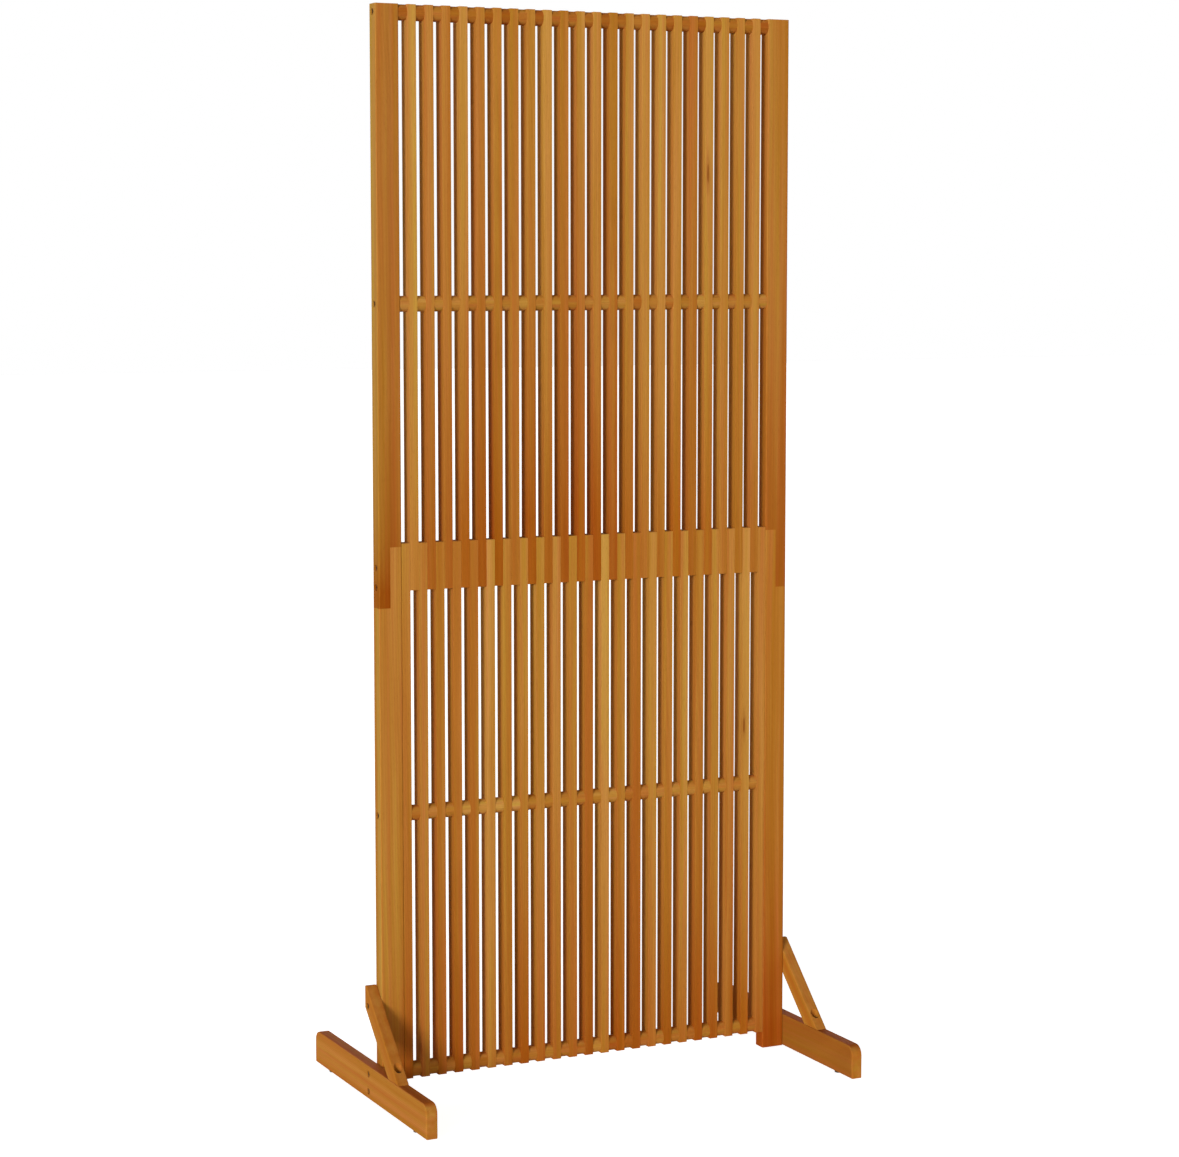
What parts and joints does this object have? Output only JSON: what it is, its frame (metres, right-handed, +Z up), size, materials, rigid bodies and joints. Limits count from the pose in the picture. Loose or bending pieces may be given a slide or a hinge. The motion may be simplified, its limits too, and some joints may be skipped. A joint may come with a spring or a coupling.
{
  "type": "garden privacy screen",
  "caption": "Tall free-standing slatted wooden privacy screen: stacked panels with slats interleaved like combs, held upright by braced foot beams.",
  "frame": {"origin": "on the ground, under the middle of the screen's width and depth", "axes": "+X to the right seen from the side the braces stand on, +Y from that side to the back, +Z up"},
  "size_m": [0.8014, 0.5, 1.8],
  "materials": {
    "panel_wood": "oiled hardwood, satin, golden to reddish brown, grain along each bar",
    "spacer_wood": "oiled hardwood turned dowel, satin, grain across the screen",
    "foot_wood": "oiled hardwood, satin, grain along the board",
    "zinc_steel": "yellowish zinc-plated steel hardware",
    "glide_plastic": "dark brown matt plastic nail-on glide"
  },
  "bodies": {
    "root": {"brace_screws": "zinc_steel", "connector_bolts": "zinc_steel", "foot_glides": "glide_plastic", "left_brace": "foot_wood", "left_foot": "foot_wood", "left_lower_stile": "panel_wood", "left_upper_stile": "panel_wood", "lower_slat_01": "panel_wood", "lower_slat_02": "panel_wood", "lower_slat_03": "panel_wood", "lower_slat_04": "panel_wood", "lower_slat_05": "panel_wood", "lower_slat_06": "panel_wood", "lower_slat_07": "panel_wood", "lower_slat_08": "panel_wood", "lower_slat_09": "panel_wood", "lower_slat_10": "panel_wood", "lower_slat_11": "panel_wood", "lower_slat_12": "panel_wood", "lower_slat_13": "panel_wood", "lower_slat_14": "panel_wood", "lower_slat_15": "panel_wood", "lower_slat_16": "panel_wood", "lower_slat_17": "panel_wood", "lower_slat_18": "panel_wood", "lower_slat_19": "panel_wood", "lower_slat_20": "panel_wood", "lower_slat_21": "panel_wood", "lower_slat_22": "panel_wood", "lower_slat_23": "panel_wood", "lower_spacers": "spacer_wood", "right_brace": "foot_wood", "right_foot": "foot_wood", "right_lower_stile": "panel_wood", "right_upper_stile": "panel_wood", "sleeve_nuts": "zinc_steel", "tie_rods": "zinc_steel", "upper_slat_01": "panel_wood", "upper_slat_02": "panel_wood", "upper_slat_03": "panel_wood", "upper_slat_04": "panel_wood", "upper_slat_05": "panel_wood", "upper_slat_06": "panel_wood", "upper_slat_07": "panel_wood", "upper_slat_08": "panel_wood", "upper_slat_09": "panel_wood", "upper_slat_10": "panel_wood", "upper_slat_11": "panel_wood", "upper_slat_12": "panel_wood", "upper_slat_13": "panel_wood", "upper_slat_14": "panel_wood", "upper_slat_15": "panel_wood", "upper_slat_16": "panel_wood", "upper_slat_17": "panel_wood", "upper_slat_18": "panel_wood", "upper_slat_19": "panel_wood", "upper_slat_20": "panel_wood", "upper_slat_21": "panel_wood", "upper_slat_22": "panel_wood", "upper_spacers": "spacer_wood"}
  },
  "joints": []
}
